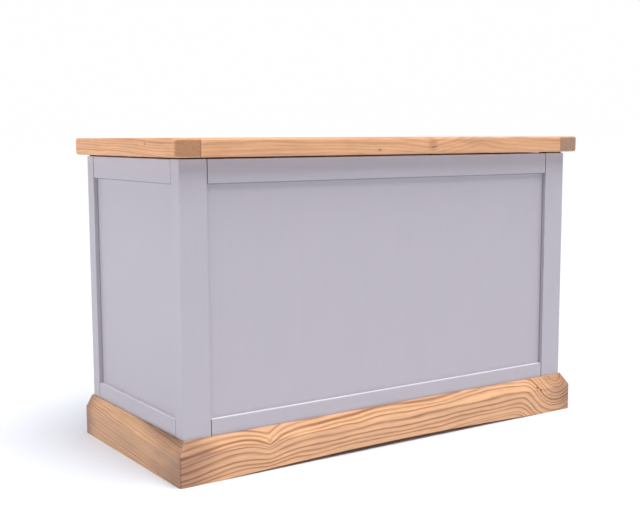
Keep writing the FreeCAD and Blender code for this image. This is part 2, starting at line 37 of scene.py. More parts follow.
MM = 0.001
SIDES = ("left", "right")
WALLS = ("front", "back", "left", "right")
LID_BOARDS = ("lid_board_1", "lid_board_2", "lid_board_3", "lid_board_4")
# Sockets of the colour mix, which has one set for each kind of data
FACTOR, COLOUR_A, COLOUR_B = 0, 6, 7


def linear(code):
    """Linear colour from an sRGB hex value such as #C8A070."""
    channels = [int(code[i:i + 2], 16) / 255 for i in (1, 3, 5)]
    return tuple(c / 12.92 if c <= 0.04045 else ((c + 0.055) / 1.055) ** 2.4 for c in channels)


def opaque(colour):
    """A colour with full alpha, as a shader socket takes it."""
    return (*colour[:3], 1.0)


def node(tree, kind, inputs=None, **settings):
    """Adds one node. An input is a value, a socket, or a node whose first live output is linked."""
    made = tree.nodes.new(kind)
    for key, value in settings.items():
        setattr(made, key, value)
    for key, value in (inputs or {}).items():
        if isinstance(value, bpy.types.Node):
            value = next(output for output in value.outputs if output.enabled)
        if isinstance(value, bpy.types.NodeSocket):
            tree.links.new(value, made.inputs[key])
        else:
            made.inputs[key].default_value = value
    return made


def set_stops(ramp, stops):
    """Gives a colour ramp its stops, each a place and a grey level."""
    elements = ramp.color_ramp.elements
    while len(elements) > 1:
        elements.remove(elements[-1])
    elements[0].position = stops[0][0]
    elements[0].color = (stops[0][1],) * 3 + (1.0,)
    for place, level in stops[1:]:
        element = elements.new(place)
        element.color = (level,) * 3 + (1.0,)
    return ramp


def new_material(name):
    """Empty node material."""
    material = bpy.data.materials.new(name)
    material.use_nodes = True
    material.node_tree.nodes.clear()
    return material


def dress(names, material):
    """Gives a material to CAD nodes."""
    for name in names:
        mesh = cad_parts[name].data
        mesh.materials.clear()
        mesh.materials.append(material)


# ---------------------------------------------------------------- sizes and colours a user may change

class ToyBoxWood(bpy.types.PropertyGroup):
    """Stained and waxed pine of the lid and plinth."""
    early: FloatVectorProperty(
        name="Early wood", description="Pale spring growth between the dark lines",
        subtype="COLOR", size=3, min=0, max=1, default=linear("#EBB589"))
    late: FloatVectorProperty(
        name="Late wood", description="Dark lines of the growth rings",
        subtype="COLOR", size=3, min=0, max=1, default=linear("#9A6137"))
    knot: FloatVectorProperty(
        name="Knots", description="Heart of a knot",
        subtype="COLOR", size=3, min=0, max=1, default=linear("#6E4429"))
    stain: FloatVectorProperty(
        name="Wax", description="Cool tint of the wax that soaks in near the ends",
        subtype="COLOR", size=3, min=0, max=1, default=linear("#C4BEC2"))
    end_grain: FloatVectorProperty(
        name="End grain", description="Cut ends, which take up more wax",
        subtype="COLOR", size=3, min=0, max=1, default=linear("#A9805F"))


class ToyBoxPaint(bpy.types.PropertyGroup):
    """Satin paint of the carcass."""
    colour: FloatVectorProperty(
        name="Paint", description="Cool grey satin paint",
        subtype="COLOR", size=3, min=0, max=1, default=linear("#B3AEB7"))
    stroke: FloatProperty(
        name="Brush marks", description="Width of the brush marks left in the paint",
        subtype="DISTANCE", unit="LENGTH", min=0.5 * MM, max=10 * MM, default=3.0 * MM)


class ToyBoxHardware(bpy.types.PropertyGroup):
    """Hinges, stays, screws and pads."""
    brass: FloatVectorProperty(
        name="Hinges", description="Brass plating on steel",
        subtype="COLOR", size=3, min=0, max=1, default=linear("#C9A765"))
    zinc: FloatVectorProperty(
        name="Stays and screws", description="Bright zinc plating on steel",
        subtype="COLOR", size=3, min=0, max=1, default=linear("#C6C9CC"))
    rubber: FloatVectorProperty(
        name="Pads", description="Soft dark rubber",
        subtype="COLOR", size=3, min=0, max=1, default=linear("#2E2B2B"))


class ToyBoxStage(bpy.types.PropertyGroup):
    """Floor, lights and camera."""
    floor: FloatVectorProperty(
        name="Floor", description="Pale studio floor",
        subtype="COLOR", size=3, min=0, max=1, default=linear("#D9DBE1"))
    horizon: FloatProperty(
        name="Backdrop light", description="Brightness of the white backdrop all round, near the floor",
        min=0, max=5, default=1.01)
    ceiling: FloatProperty(
        name="Ceiling light", description="Brightness of the dimmer surroundings higher up",
        min=0, max=5, default=0.15)
    overhead: FloatProperty(
        name="Overhead light", description="Strength of the wide soft light high overhead",
        min=0, max=10, default=4.2)
    fill: FloatProperty(
        name="Floor light", description="Power of the soft light over the floor in front",
        subtype="POWER", unit="POWER", min=0, max=500, default=0.5)
    side: FloatProperty(
        name="Side light", description="Power of the soft light at the left",
        subtype="POWER", unit="POWER", min=0, max=500, default=24.0)
    lens: FloatProperty(
        name="Lens", description="Focal length of the camera",
        subtype="DISTANCE_CAMERA", unit="CAMERA", min=20, max=200, default=59.16)
    camera: FloatVectorProperty(
        name="Camera", description="Camera's place, measured from under the middle of the lid",
        subtype="TRANSLATION", unit="LENGTH", size=3, default=(-1.0462, -1.5044, 0.5031))
    aim: FloatVectorProperty(
        name="Camera turn", description="Camera's rotation: tilt up from straight down, roll, and turn",
        subtype="EULER", unit="ROTATION", size=3,
        default=(math.radians(83.09), math.radians(0.203), math.radians(-33.976)))


class ToyBoxSettings(bpy.types.PropertyGroup):
    """All settings of the toy box."""
    wood: PointerProperty(type=ToyBoxWood)
    paint: PointerProperty(type=ToyBoxPaint)
    hardware: PointerProperty(type=ToyBoxHardware)
    stage: PointerProperty(type=ToyBoxStage)


# ---------------------------------------------------------------- wood

GRAIN = {"X": (0, 1, 2), "Y": (1, 0, 2), "Z": (2, 0, 1)}

# How one board was sawn. Lengths are in millimetres from the middle of the board, in its own order:
# along the grain first, then the other two directions.
#   pith: where the tree's centre line passes, across the board; slope: how it drifts along the board
#   ring: distance between growth rings
#   dips: (place, reach, push, sharp), where the rings sag past a branch, in a bowl or a sharp V
#   limbs: (place, rise), where the rings curl round the root of a branch
#   knots: (place, radius, stretch, strength), dark knots, stains, and checks along the grain
#   ends: depth of wax at the board's two ends; tone: lightness beside its neighbours
#   wash, end_wash: red, green and blue of this board's faces and cut ends beside the plain stain
PLAIN = (1.0, 1.0, 1.0)
BARE = (0.96, 1.06, 1.25)  # unstained wood inside, paler and less orange
Board = namedtuple("Board", "grain pith ring slope dips limbs knots ends tone contrast wash end_wash",
                   defaults=((0, 0), (), (), (), (0, 0), 1.0, 1.0, PLAIN, PLAIN))


def washed(colour, wash):
    """A wood colour under one board's own wash of stain."""
    return (*(channel * part for channel, part in zip(colour, wash)), 1.0)


def distance_from(tree, point, centre, scale):
    """Distance between a point and a centre, with each direction scaled."""
    moved = node(tree, "ShaderNodeMapping", {
        "Vector": point, "Location": [-centre[i] * scale[i] for i in range(3)], "Scale": scale})
    return node(tree, "ShaderNodeVectorMath", {0: moved}, operation="LENGTH").outputs["Value"]


def wandering(tree, local, seed, ring):
    """The point, shaken across the grain by slow wander and small ripples in the grain."""
    total = local
    waves = ((0.4, 90 * MM, 2.6 * ring), (0.25, 22 * MM, 0.9 * ring), (0.15, 6 * MM, 0.22 * ring))
    for stretch, size, depth in waves:
        place = node(tree, "ShaderNodeMapping", {
            "Vector": local, "Location": (0.31 * seed, 0.77 * seed, 0.13 * seed), "Scale": (stretch, 1, 1)})
        noise = node(tree, "ShaderNodeTexNoise", {"Vector": place, "Scale": 1 / size, "Detail": 1.0})
        centred = node(tree, "ShaderNodeVectorMath", {0: noise.outputs["Color"], 1: (0.5,) * 3},
                       operation="SUBTRACT")
        total = node(tree, "ShaderNodeVectorMath", {0: centred, 1: (0, depth, depth), 2: total},
                     operation="MULTIPLY_ADD")
    return total


def growth_rings(tree, point, board, middle):
    """Distance from the tree's centre line, changed where branches push the rings aside."""
    axis = [0.0] + [middle[i + 1] + board.pith[i] * MM for i in (0, 1)]
    split = node(tree, "ShaderNodeSeparateXYZ", {0: point})
    tilt = node(tree, "ShaderNodeVectorMath", {
        0: split.outputs["X"],
        1: (0, -board.slope[0], -board.slope[1]),
        2: (0, middle[0] * board.slope[0] - axis[1], middle[0] * board.slope[1] - axis[2]),
    }, operation="MULTIPLY_ADD")
    from_pith = node(tree, "ShaderNodeVectorMath", {0: point, 1: tilt}, operation="ADD")
    across = node(tree, "ShaderNodeVectorMath", {0: from_pith, 1: (0, 1, 1)}, operation="MULTIPLY")
    radius = node(tree, "ShaderNodeVectorMath", {0: across}, operation="LENGTH").outputs["Value"]
    for place, reach, push, sharp in board.dips:
        centre = [middle[i] + place[i] * MM for i in range(3)]
        away = distance_from(tree, point, centre, [1 / (size * MM) if size else 0.0 for size in reach])
        power = node(tree, "ShaderNodeMath", {0: away, 1: 1.0 if sharp else 2.0}, operation="POWER")
        fall = node(tree, "ShaderNodeMath", {0: power, 1: -1.0}, operation="MULTIPLY")
        bell = node(tree, "ShaderNodeMath", {0: fall}, operation="EXPONENT")
        radius = node(tree, "ShaderNodeMath", {0: bell, 1: push * MM, 2: radius}, operation="MULTIPLY_ADD")
    for place, rise in board.limbs:
        centre = [middle[i] + place[i] * MM for i in range(3)]
        away = distance_from(tree, point, centre, (1, 0, 1))
        top = math.hypot(centre[1] - axis[1], centre[2] - axis[2]) + rise * MM
        curl = node(tree, "ShaderNodeMath", {0: top, 1: away}, operation="SUBTRACT")
        radius = node(tree, "ShaderNodeMath", {0: radius, 1: curl, 2: 30 * MM}, operation="SMOOTH_MAX")
    return radius


def wood_colour(tree, colours, board, rings, knots):
    """Colour of the bare wood: pale early wood, dark late wood, and knots."""
    fade = node(tree, "ShaderNodeMath", {0: rings, 1: board.contrast}, operation="MULTIPLY", use_clamp=True)
    wood = node(tree, "ShaderNodeMix", {FACTOR: fade, COLOUR_A: washed(colours.early, board.wash),
                                        COLOUR_B: washed(colours.late, board.wash)}, data_type="RGBA")
    for knot in knots:
        wood = node(tree, "ShaderNodeMix", {FACTOR: knot, COLOUR_A: wood, COLOUR_B: opaque(colours.knot)},
                    data_type="RGBA")
    return wood


def waxed_ends(tree, wood, colours, board, along, ends, cloud):
    """Wax that has soaked in near a board's ends, with a ragged edge."""
    for end, depth in zip(ends, board.ends):
        if not depth:
            continue
        from_end = node(tree, "ShaderNodeMath", {0: along, 1: end}, operation="SUBTRACT")
        inward = node(tree, "ShaderNodeMath", {0: from_end}, operation="ABSOLUTE")
        ragged = node(tree, "ShaderNodeMath", {0: cloud, 1: -2.4 * depth * MM, 2: inward},
                      operation="MULTIPLY_ADD")
        wax = node(tree, "ShaderNodeMapRange", {"Value": ragged, "From Min": 0.1 * depth * MM,
                                                "From Max": -1.3 * depth * MM}, interpolation_type="SMOOTHSTEP")
        wood = node(tree, "ShaderNodeMix", {FACTOR: wax, COLOUR_A: wood, COLOUR_B: opaque(colours.stain)},
                    data_type="RGBA", blend_type="MULTIPLY")
    return wood


def seam(tree, colour, point, normal, offset, dark, width=0.9):
    """Dark line where a piece meets its neighbour, at the plane with this normal and offset. In wood it is a
    dark joint; in paint it is painted shade where a panel enters its groove.
    """
    along = node(tree, "ShaderNodeVectorMath", {0: point, 1: normal}, operation="DOT_PRODUCT")
    apart = node(tree, "ShaderNodeMath", {0: along.outputs["Value"], 1: offset}, operation="SUBTRACT")
    away = node(tree, "ShaderNodeMath", {0: apart}, operation="ABSOLUTE")
    line = node(tree, "ShaderNodeMapRange", {
        "Value": away, "From Min": width * MM, "From Max": 0.2 * width * MM, "To Max": 0.7,
    }, interpolation_type="SMOOTHSTEP")
    return node(tree, "ShaderNodeMix", {
        FACTOR: line, COLOUR_A: colour, COLOUR_B: opaque(dark)}, data_type="RGBA")


def waxed_pine(name, colours, board, node_name, joints=()):
    """Stained, waxed softwood: soft pale early wood, dark late-wood lines, dull sheen from the wax."""
    low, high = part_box(node_name)
    order = GRAIN[board.grain]
    middle = [(low[i] + high[i]) / 2 for i in order]
    seed = 1 + list(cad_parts).index(node_name)
    material = new_material(name)
    tree = material.node_tree
    place = node(tree, "ShaderNodeTexCoord")
    split = node(tree, "ShaderNodeSeparateXYZ", {0: place.outputs["Object"]})
    along = split.outputs[order[0]]
    local = node(tree, "ShaderNodeCombineXYZ", {i: split.outputs[axis] for i, axis in enumerate(order)})
    point = wandering(tree, local, seed, board.ring * MM)
    radius = growth_rings(tree, point, board, middle)

    # Rings of uneven width: pale wood darkens slowly outwards and ends in a hard line
    uneven = node(tree, "ShaderNodeTexNoise", {"W": radius, "Scale": 1 / (3 * board.ring * MM), "Detail": 2.0},
                  noise_dimensions="1D")
    count = node(tree, "ShaderNodeMath", {0: radius, 1: board.ring * MM}, operation="DIVIDE")
    phase = node(tree, "ShaderNodeMath", {0: uneven, 1: 2.6, 2: count}, operation="MULTIPLY_ADD")
    share = node(tree, "ShaderNodeMath", {0: phase}, operation="FRACT")
    line = set_stops(node(tree, "ShaderNodeValToRGB", {0: share}), [
        (0.0, 0.42), (0.10, 0.12), (0.32, 0.02), (0.50, 0.18),
        (0.68, 0.66), (0.82, 1.0), (0.92, 0.92), (1.0, 0.42)])
    year = node(tree, "ShaderNodeMath", {0: phase}, operation="FLOOR")
    strength = node(tree, "ShaderNodeTexWhiteNoise", {"W": year}, noise_dimensions="1D")
    patchy_at = node(tree, "ShaderNodeVectorMath", {0: local, 1: (0.25, 1, 1)}, operation="MULTIPLY")
    patchy = node(tree, "ShaderNodeTexNoise", {"Vector": patchy_at, "Scale": 1 / (20 * MM), "Detail": 2.0})
    strong = node(tree, "ShaderNodeMath", {0: strength.outputs["Value"], 1: 0.45, 2: patchy},
                  operation="MULTIPLY_ADD")
    level = node(tree, "ShaderNodeMapRange", {"Value": strong, "From Min": 0.3, "From Max": 0.95,
                                              "To Min": 0.4, "To Max": 1.0})
    rings = node(tree, "ShaderNodeMath", {0: line, 1: level}, operation="MULTIPLY")

    # Fibres and resin streaks, drawn 1.2 and 4 mm wide so that they show
    fibre_at = node(tree, "ShaderNodeVectorMath", {0: point, 1: (0.03, 1, 1)}, operation="MULTIPLY")
    fibre = node(tree, "ShaderNodeTexNoise", {"Vector": fibre_at, "Scale": 1 / (1.2 * MM), "Detail": 3.0,
                                              "Roughness": 0.6})
    streak_at = node(tree, "ShaderNodeVectorMath", {0: point, 1: (0.06, 1, 1)}, operation="MULTIPLY")
    streak = node(tree, "ShaderNodeTexNoise", {"Vector": streak_at, "Scale": 1 / (4 * MM), "Detail": 2.0})
    cloud_at = node(tree, "ShaderNodeVectorMath", {0: local, 1: (0.4, 1, 1)}, operation="MULTIPLY")
    cloud = node(tree, "ShaderNodeTexNoise", {"Vector": cloud_at, "Scale": 1 / (40 * MM), "Detail": 4.0})

    knots = []
    for spot, size, stretch, strength in board.knots:
        centre = [middle[i] + spot[i] * MM for i in range(3)]
        away = distance_from(tree, point, centre, (1 / stretch, 0, 1))
        knots.append(node(tree, "ShaderNodeMapRange", {
            "Value": away, "From Min": 1.8 * size * MM, "From Max": 0.4 * size * MM, "To Max": strength,
        }, interpolation_type="SMOOTHSTEP"))
    wood = wood_colour(tree, colours, board, rings, knots)
    ends = [(low[order[0]], high[order[0]])[i] for i in (0, 1)]
    wood = waxed_ends(tree, wood, colours, board, along, ends, cloud)

    # End grain: where the surface faces along the grain
    facing = node(tree, "ShaderNodeSeparateXYZ", {0: place.outputs["Normal"]})
    across = node(tree, "ShaderNodeMath", {0: facing.outputs[order[0]]}, operation="ABSOLUTE")
    uneven_cut = node(tree, "ShaderNodeMath", {0: cloud, 1: 0.5, 2: across}, operation="MULTIPLY_ADD")
    cut = node(tree, "ShaderNodeMapRange", {"Value": uneven_cut, "From Min": 0.75, "From Max": 1.3},
               interpolation_type="SMOOTHSTEP")
    ends = node(tree, "ShaderNodeMix", {
        FACTOR: 0.85, COLOUR_A: wood, COLOUR_B: washed(colours.end_grain, board.end_wash)}, data_type="RGBA")
    wood = node(tree, "ShaderNodeMix", {FACTOR: cut, COLOUR_A: wood, COLOUR_B: ends}, data_type="RGBA")
    for normal, offset in joints:
        wood = seam(tree, wood, place.outputs["Object"], normal, offset, colours.knot)

    # Fibre, streaks and clouding change the lightness
    fine = node(tree, "ShaderNodeMapRange", {"Value": fibre, "From Min": 0.3, "From Max": 0.7,
                                             "To Min": 0.92 * board.tone, "To Max": 1.07 * board.tone})
    broad = node(tree, "ShaderNodeMapRange", {"Value": streak, "From Min": 0.3, "From Max": 0.7,
                                              "To Min": 0.92, "To Max": 1.05})
    patch = node(tree, "ShaderNodeMapRange", {"Value": cloud, "From Min": 0.3, "From Max": 0.7,
                                              "To Min": 0.90, "To Max": 1.06})
    shade = node(tree, "ShaderNodeMath", {0: fine, 1: broad}, operation="MULTIPLY")
    shade = node(tree, "ShaderNodeMath", {0: shade, 1: patch}, operation="MULTIPLY")
    colour = node(tree, "ShaderNodeVectorMath", {0: wood, "Scale": shade}, operation="SCALE")

    # Wax polishes the hard late wood more than the soft early wood
    rough = node(tree, "ShaderNodeMapRange", {"Value": rings, "To Min": 0.55, "To Max": 0.42})
    relief = node(tree, "ShaderNodeMath", {0: fibre, 1: 0.35, 2: rings}, operation="MULTIPLY_ADD")
    bump = node(tree, "ShaderNodeBump", {"Height": relief, "Strength": 0.35, "Distance": 0.15 * MM})
    shader = node(tree, "ShaderNodeBsdfPrincipled", {
        "Base Color": colour, "Roughness": rough, "Normal": bump, "IOR": 1.5,
        "Coat Weight": 0.12, "Coat Roughness": 0.35,
    })
    node(tree, "ShaderNodeOutputMaterial", {"Surface": shader})
    return material


# ---------------------------------------------------------------- paint

# Painted shadow: a dark line round each panel, where shade falls in its groove
GROOVE_SHADOW = 2.6  # width in mm of the dark line round a panel
SHADOW_DEPTH = 0.35  # that line's lightness beside the paint
# Painted highlight: the bottom rails' upward faces are made paler in place of light falling on them
LEDGE_HIGHLIGHT = 1.5  # lightness of the bottom rails' upward faces beside the paint


def satin_paint(name, paint, grain, joints=(), ledge_highlight=1.0):
    """Brushed satin paint on smooth wood: even colour, a soft sheen, faint brush marks along each piece.

    It has painted shade in the corners where a panel enters its groove, and a painted highlight that makes
    upward faces paler.
    """
    order = GRAIN[grain]
    material = new_material(name)
    tree = material.node_tree
    place = node(tree, "ShaderNodeTexCoord")
    split = node(tree, "ShaderNodeSeparateXYZ", {0: place.outputs["Object"]})
    local = node(tree, "ShaderNodeCombineXYZ", {i: split.outputs[axis] for i, axis in enumerate(order)})
    stroke_at = node(tree, "ShaderNodeVectorMath", {0: local, 1: (0.02, 1, 1)}, operation="MULTIPLY")
    stroke = node(tree, "ShaderNodeTexNoise", {"Vector": stroke_at, "Scale": 1 / paint.stroke, "Detail": 4.0,
                                               "Roughness": 0.55})
    cloud = node(tree, "ShaderNodeTexNoise", {"Vector": local, "Scale": 1 / (90 * MM), "Detail": 3.0})
    both = node(tree, "ShaderNodeMath", {0: cloud, 1: 0.6, 2: stroke}, operation="MULTIPLY_ADD")
    shade = node(tree, "ShaderNodeMapRange", {"Value": both, "From Min": 0.5, "From Max": 1.1,
                                              "To Min": 0.98, "To Max": 1.02})
    colour = node(tree, "ShaderNodeVectorMath", {0: tuple(paint.colour), "Scale": shade}, operation="SCALE")
    shadow = [SHADOW_DEPTH * channel for channel in paint.colour]
    # Painted shadow lines along the joint planes, standing in for the shade in the panel's groove
    for normal, offset in joints:
        colour = seam(tree, colour, place.outputs["Object"], normal, offset, shadow, GROOVE_SHADOW)
    # Painted highlight: upward faces are made paler
    if ledge_highlight != 1.0:
        facing = node(tree, "ShaderNodeSeparateXYZ", {0: place.outputs["Normal"]})
        painted_highlight = node(tree, "ShaderNodeMapRange", {"Value": facing.outputs["Z"], "From Min": 0.5, "From Max": 0.9,
                                                 "To Min": 1.0, "To Max": ledge_highlight})
        colour = node(tree, "ShaderNodeVectorMath", {0: colour, "Scale": painted_highlight}, operation="SCALE")
    rough = node(tree, "ShaderNodeMapRange", {"Value": both, "From Min": 0.5, "From Max": 1.1,
                                              "To Min": 0.40, "To Max": 0.52})
    bump = node(tree, "ShaderNodeBump", {"Height": stroke, "Strength": 0.2, "Distance": 0.1 * MM})
    shader = node(tree, "ShaderNodeBsdfPrincipled", {
        "Base Color": colour, "Roughness": rough, "Normal": bump, "IOR": 1.5})
    node(tree, "ShaderNodeOutputMaterial", {"Surface": shader})
    return material


# ---------------------------------------------------------------- metal and rubber

def plated_steel(name, colour, rough, grain):
    """Plated steel strip: a metal sheen, dulled by fine rolling lines and handling."""
    order = GRAIN[grain]
    material = new_material(name)
    tree = material.node_tree
    place = node(tree, "ShaderNodeTexCoord")
    split = node(tree, "ShaderNodeSeparateXYZ", {0: place.outputs["Object"]})
    local = node(tree, "ShaderNodeCombineXYZ", {i: split.outputs[axis] for i, axis in enumerate(order)})
    lines_at = node(tree, "ShaderNodeVectorMath", {0: local, 1: (0.04, 1, 1)}, operation="MULTIPLY")
    lines = node(tree, "ShaderNodeTexNoise", {"Vector": lines_at, "Scale": 1 / (0.4 * MM), "Detail": 3.0})
    smear = node(tree, "ShaderNodeTexNoise", {"Vector": local, "Scale": 1 / (12 * MM), "Detail": 4.0})
    both = node(tree, "ShaderNodeMath", {0: lines, 1: smear}, operation="ADD")
    tone = node(tree, "ShaderNodeMapRange", {"Value": both, "From Min": 0.7, "From Max": 1.3,
                                             "To Min": 0.88, "To Max": 1.05})
    base = node(tree, "ShaderNodeVectorMath", {0: tuple(colour), "Scale": tone}, operation="SCALE")
    dull = node(tree, "ShaderNodeMapRange", {"Value": both, "From Min": 0.7, "From Max": 1.3,
                                             "To Min": rough - 0.07, "To Max": rough + 0.1})
    bump = node(tree, "ShaderNodeBump", {"Height": lines, "Strength": 0.15, "Distance": 0.02 * MM})
    shader = node(tree, "ShaderNodeBsdfPrincipled", {
        "Base Color": base, "Roughness": dull, "Normal": bump, "Metallic": 1.0})
    node(tree, "ShaderNodeOutputMaterial", {"Surface": shader})
    return material


def moulded_rubber(name, colour):
    """Moulded rubber: dark, dull, with a fine matt grain."""
    material = new_material(name)
    tree = material.node_tree
    place = node(tree, "ShaderNodeTexCoord")
    grain = node(tree, "ShaderNodeTexNoise", {"Vector": place.outputs["Object"], "Scale": 1 / (0.5 * MM),
                                              "Detail": 3.0})
    shade = node(tree, "ShaderNodeMapRange", {"Value": grain, "To Min": 0.8, "To Max": 1.25})
    base = node(tree, "ShaderNodeVectorMath", {0: tuple(colour), "Scale": shade}, operation="SCALE")
    rough = node(tree, "ShaderNodeMapRange", {"Value": grain, "To Min": 0.7, "To Max": 0.9})
    bump = node(tree, "ShaderNodeBump", {"Height": grain, "Strength": 0.3, "Distance": 0.05 * MM})
    shader = node(tree, "ShaderNodeBsdfPrincipled", {
        "Base Color": base, "Roughness": rough, "Normal": bump, "IOR": 1.52})
    node(tree, "ShaderNodeOutputMaterial", {"Surface": shader})
    return material


# ---------------------------------------------------------------- operators

def aim_light(scene, name, kind, place, target=Vector((0, 0, 0.25)), **settings):
    """Adds a lamp that shines at the target."""
    lamp = bpy.data.lights.new(name, kind)
    for key, value in settings.items():
        setattr(lamp, key, value)
    made = bpy.data.objects.new(name, lamp)
    made.location = place
    made.rotation_euler = (made.location - target).to_track_quat("Z", "Y").to_euler()
    scene.collection.objects.link(made)


class TOYBOX_OT_stage(bpy.types.Operator):
    """Makes the pale floor, the soft lights and the camera"""
    bl_idname = "toybox.stage"
    bl_label = "Stage"

    def execute(self, context):
        stage = context.scene.toy_box.stage
        scene = context.scene
        mesh = bpy.data.meshes.new("studio_floor")
        reach = 40.0
        corners = [(-reach, -reach, 0), (reach, -reach, 0), (reach, reach, 0), (-reach, reach, 0)]
        mesh.from_pydata(corners, [], [(0, 1, 2, 3)])
        floor = bpy.data.objects.new("studio_floor", mesh)
        scene.collection.objects.link(floor)
        material = new_material("matt_white_paper")
        tree = material.node_tree
        place = node(tree, "ShaderNodeTexCoord")
        tooth = node(tree, "ShaderNodeTexNoise", {"Vector": place.outputs["Object"], "Scale": 1 / (300 * MM)})
        shade = node(tree, "ShaderNodeMapRange", {"Value": tooth, "To Min": 0.99, "To Max": 1.01})
        colour = node(tree, "ShaderNodeVectorMath", {0: tuple(stage.floor), "Scale": shade}, operation="SCALE")
        shader = node(tree, "ShaderNodeBsdfDiffuse", {"Color": colour})
        node(tree, "ShaderNodeOutputMaterial", {"Surface": shader})
        mesh.materials.append(material)

        world = bpy.data.worlds.new("studio")
        world.use_nodes = True
        tree = world.node_tree
        tree.nodes.clear()
        direction = node(tree, "ShaderNodeTexCoord")
        height = node(tree, "ShaderNodeSeparateXYZ", {0: direction.outputs["Generated"]})
        glow = node(tree, "ShaderNodeMapRange", {
            "Value": height.outputs["Z"], "From Min": 0.12, "From Max": 0.3,
            "To Min": stage.horizon, "To Max": stage.ceiling}, interpolation_type="SMOOTHSTEP")
        background = node(tree, "ShaderNodeBackground", {"Color": (1.0, 0.985, 1.0, 1.0), "Strength": glow})
        node(tree, "ShaderNodeOutputWorld", {"Surface": background})
        scene.world = world

        aim_light(scene, "overhead_light", "SUN", (0.15, -0.75, 3.0), energy=stage.overhead,
                  angle=math.radians(50))
        aim_light(scene, "floor_light", "AREA", (-0.1, -0.5, 1.7), Vector((-0.1, -0.5, 0)),
                  energy=stage.fill, shape="RECTANGLE", size=1.6, size_y=0.8)
        aim_light(scene, "side_light", "AREA", (-3.0, 0.7, 1.05), energy=stage.side,
                  shape="RECTANGLE", size=1.6, size_y=1.6)

        lens = bpy.data.cameras.new("camera")
        lens.lens = stage.lens
        lens.sensor_width = 36.0
        camera = bpy.data.objects.new("camera", lens)
        camera.location = stage.camera
        camera.rotation_euler = stage.aim
        scene.collection.objects.link(camera)
        scene.camera = camera
        scene.view_settings.view_transform = "Standard"
        return {"FINISHED"}


class TOYBOX_OT_paintwork(bpy.types.Operator):
    """Paints the posts, rails and panels of the carcass"""
    bl_idname = "toybox.paintwork"
    bl_label = "Painted carcass"

    def execute(self, context):
        paint = context.scene.toy_box.paint
        upright = satin_paint("satin_painted_wood_upright", paint, "Z")
        across = satin_paint("satin_painted_wood_across", paint, "X")
        along = satin_paint("satin_painted_wood_front_to_back", paint, "Y")
        dress([f"post_{y}_{x}" for y in ("front", "back") for x in SIDES], upright)
        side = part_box("post_front_left")[1]
        far = {"X": -side[0], "Y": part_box("post_back_left")[0][1]}
        for wall in WALLS:
            grain, rail = ("X", across) if wall in ("front", "back") else ("Y", along)
            dress([f"rail_{wall}_top"], rail)
            # Bottom rails get a painted highlight on their upward faces
            low = satin_paint(f"satin_painted_rail_{wall}", paint, grain, ledge_highlight=LEDGE_HIGHLIGHT)
            dress([f"rail_{wall}_bottom"], low)
            normal = (1, 0, 0) if grain == "X" else (0, 1, 0)
            near = side[0] if grain == "X" else side[1]
            # Painted shadow lines along the top rail and both posts round each panel
            panel_shadow_lines = [((0, 0, 1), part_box(f"rail_{wall}_top")[0][2]), (normal, near), (normal, far[grain])]
            dress([f"panel_{wall}"], satin_paint(f"satin_painted_panel_{wall}", paint, "Z", panel_shadow_lines))
        return {"FINISHED"}


class TOYBOX_OT_plinth(bpy.types.Operator):
    """Gives the plinth boards their waxed pine"""
    bl_idname = "toybox.plinth"
    bl_label = "Plinth"

    def execute(self, context):
        wood = context.scene.toy_box.wood
        low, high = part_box("plinth_front")
        slant = math.sqrt(0.5)
        mitres = {
            "left": ((slant, -slant, 0), slant * (low[0] - low[1])),
            "right": ((slant, slant, 0), slant * (high[0] + low[1])),
        }
        front = Board("X", (10, -110), 7.5, dips=(
            ((-247, 0, 12), (24, 0, 45), 19, True),
            ((-420, 0, 0), (110, 0, 80), 16, False),
            ((-150, 0, -10), (60, 0, 60), 6, False),
            ((225, 0, 0), (120, 0, 70), -9, False),
        ), limbs=(((368, 0, 44), 38),), knots=(((318, 0, 16), 1.6, 1.7, 0.8), ((326, 0, 12), 1.4, 1.7, 0.8)),
            ends=(80, 75), contrast=0.95, wash=(0.94, 0.96, 0.98))
        dress(["plinth_front"], waxed_pine("waxed_pine_plinth_front", wood, front, "plinth_front",
                                           mitres.values()))
        for side, slope in zip(SIDES, (0.05, -0.04)):
            stains = (((-95, 0, 38), 11, 8, 0.6), ((-180, 0, 30), 5, 1.5, 0.7))
            board = Board("Y", (15, -90), 2.9, (0, slope), knots=stains,
                          ends=(95, 30), tone=0.88, contrast=0.8, wash=(0.92, 0.95, 0.98))
            dress([f"plinth_{side}"], waxed_pine(f"waxed_pine_plinth_{side}", wood, board, f"plinth_{side}",
                                                 [mitres[side]]))
        return {"FINISHED"}


